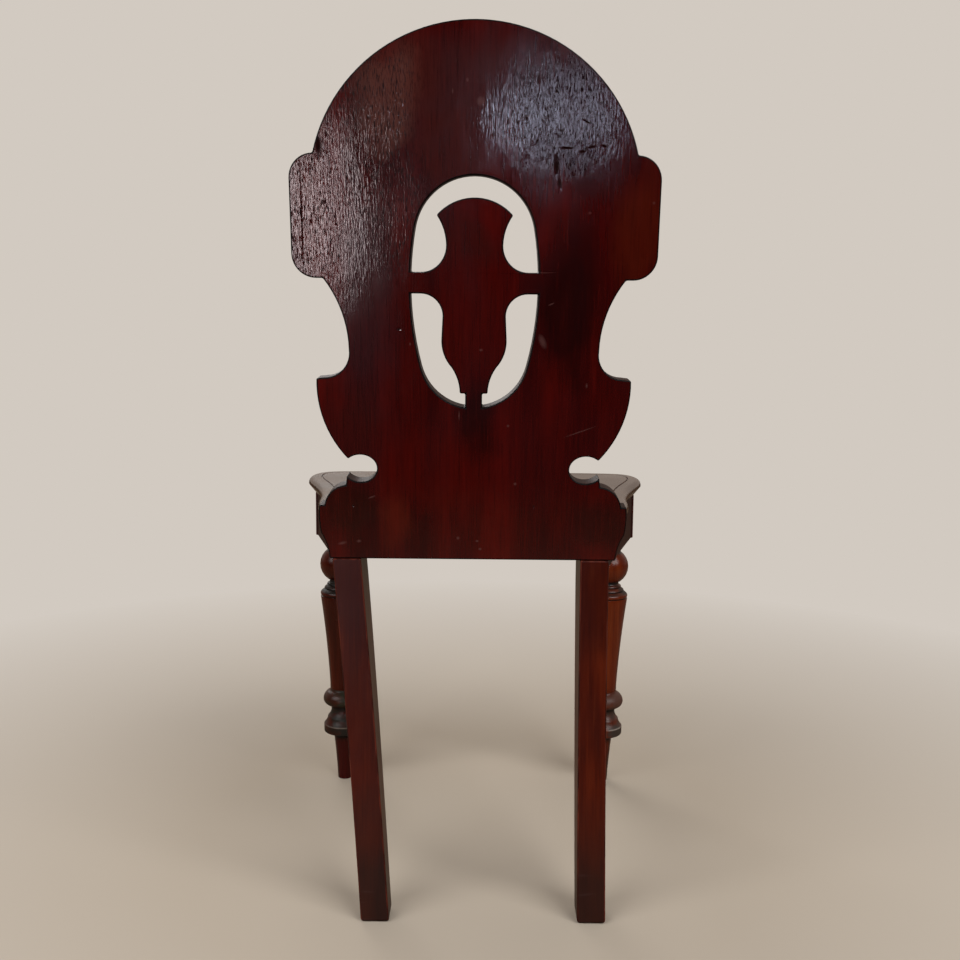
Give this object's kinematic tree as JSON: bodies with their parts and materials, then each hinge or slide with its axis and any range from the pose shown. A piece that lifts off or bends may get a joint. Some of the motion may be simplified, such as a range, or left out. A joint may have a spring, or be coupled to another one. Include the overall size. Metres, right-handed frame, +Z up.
{
  "type": "hall chair",
  "caption": "Wooden hall chair with a raked plank back pierced by an oval and shield, moulded board seat, turned front legs and square rear legs.",
  "frame": {"origin": "on the floor under the middle of the chair's bounding box", "axes": "+Z up, -Y the way the chair faces, +X the sitter's left; the rear face of the back looks along +Y"},
  "size_m": [0.4594, 0.4594, 0.9178],
  "materials": {
    "back_mahogany": "French polished, worn",
    "seat_mahogany": "French polished, worn",
    "turned_mahogany": "polished",
    "frame_mahogany": "polished",
    "block_pine": "bare, aged",
    "dowel_beech": "bare",
    "screw_steel": "dull"
  },
  "bodies": {
    "root": {"back_panel": "back_mahogany", "seat_board": "seat_mahogany", "rear_leg_left": "frame_mahogany", "rear_leg_right": "frame_mahogany", "front_leg_left": "turned_mahogany", "front_leg_right": "turned_mahogany", "front_rail": "frame_mahogany", "side_rail_left": "frame_mahogany", "side_rail_right": "frame_mahogany", "back_rail": "frame_mahogany", "corner_block_front_left": "block_pine", "corner_block_front_right": "block_pine", "corner_block_rear_left": "block_pine", "corner_block_rear_right": "block_pine", "glue_block_front": "block_pine", "glue_block_left": "block_pine", "glue_block_right": "block_pine", "front_rail_dowels": "dowel_beech", "side_rail_dowels": "dowel_beech", "back_rail_dowels": "dowel_beech", "back_panel_screws": "screw_steel", "corner_block_screws": "screw_steel", "seat_screws": "screw_steel", "pocket_screws": "screw_steel"}
  },
  "joints": []
}
